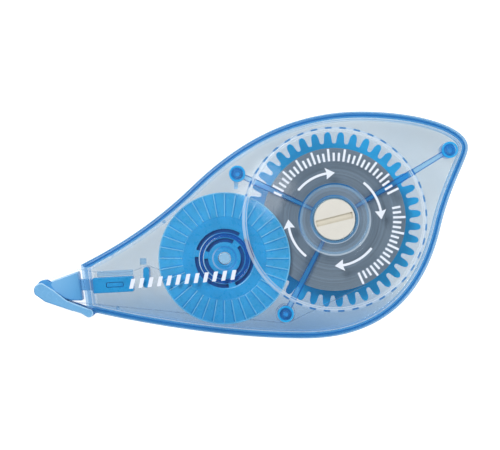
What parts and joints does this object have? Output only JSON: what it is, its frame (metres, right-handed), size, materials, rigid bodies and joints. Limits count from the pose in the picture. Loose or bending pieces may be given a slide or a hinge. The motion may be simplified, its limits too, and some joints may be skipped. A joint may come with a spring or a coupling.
{
  "type": "correction tape roller",
  "caption": "Sideways correction tape roller with a see-through leaf-shaped case, geared supply and take-up reels, an applicator head with a tip roller, and a swing cap.",
  "frame": {"origin": "the supply spool's axis, on the rear cover's flat outer face that the roller lies on", "axes": "+Z out of the front cover, +X from the applicator nose to the tail, +Y across the case"},
  "size_m": [0.1082, 0.0566, 0.013],
  "materials": {
    "clear_case": "clear blue-tinted polystyrene, polished",
    "gear_plastic": "semi-gloss moulded blue",
    "clutch_rubber": "plain silicone ring",
    "core_plastic": "satin cream",
    "wound_tape": "edge of wound tape, fine concentric layers",
    "hub_plastic": "semi-gloss moulded navy",
    "carrier_ribbon": "glassine ribbon without coating",
    "head_plastic": "semi-gloss moulded mid blue",
    "roller_plastic": "smooth moulded blue",
    "cap_plastic": "semi-gloss moulded light blue",
    "coated_tape": "white correction coating on ribbon"
  },
  "bodies": {
    "case": {"rear_cover": "clear_case", "front_cover": "clear_case", "applicator_head": "head_plastic", "guide_post": "head_plastic", "tape_feed_run": "coated_tape", "tape_return_run": "carrier_ribbon"},
    "supply_drive": {"supply_gear": "gear_plastic", "clutch_ring": "clutch_rubber"},
    "tape_spool": {"tape_core": "core_plastic", "supply_tape_roll": "wound_tape"},
    "takeup_reel": {"takeup_hub": "hub_plastic", "takeup_winding": "carrier_ribbon", "takeup_flange": "gear_plastic"},
    "roller": {"tip_roller": "roller_plastic"},
    "cap": {"swing_cap": "cap_plastic"}
  },
  "joints": [
    {"name": "supply_spin", "type": "hinge", "parent": "case", "child": "supply_drive", "pos_m": [0, 0, 0.0029], "axis": [0, 0, 1], "continuous": true},
    {"name": "core_slip", "type": "hinge", "parent": "supply_drive", "child": "tape_spool", "pos_m": [0, 0, 0.0066], "axis": [0, 0, 1], "continuous": true},
    {"name": "takeup_spin", "type": "hinge", "parent": "case", "child": "takeup_reel", "pos_m": [-0.02748, -0.00973, 0.0029], "axis": [0, 0, 1], "continuous": true},
    {"name": "roller_spin", "type": "hinge", "parent": "case", "child": "roller", "pos_m": [-0.0726, -0.0169, 0.0066], "axis": [0, 0, 1], "continuous": true},
    {"name": "cap_swing", "type": "hinge", "parent": "case", "child": "cap", "pos_m": [-0.0613, -0.0234, 0.0066], "axis": [0, 0, 1], "range_deg": [0, 150]}
  ],
  "couplings": [
    {"joint": "takeup_spin", "follows": "supply_spin", "ratio": -2.6667},
    {"joint": "roller_spin", "follows": "supply_spin", "ratio": 14.1}
  ]
}
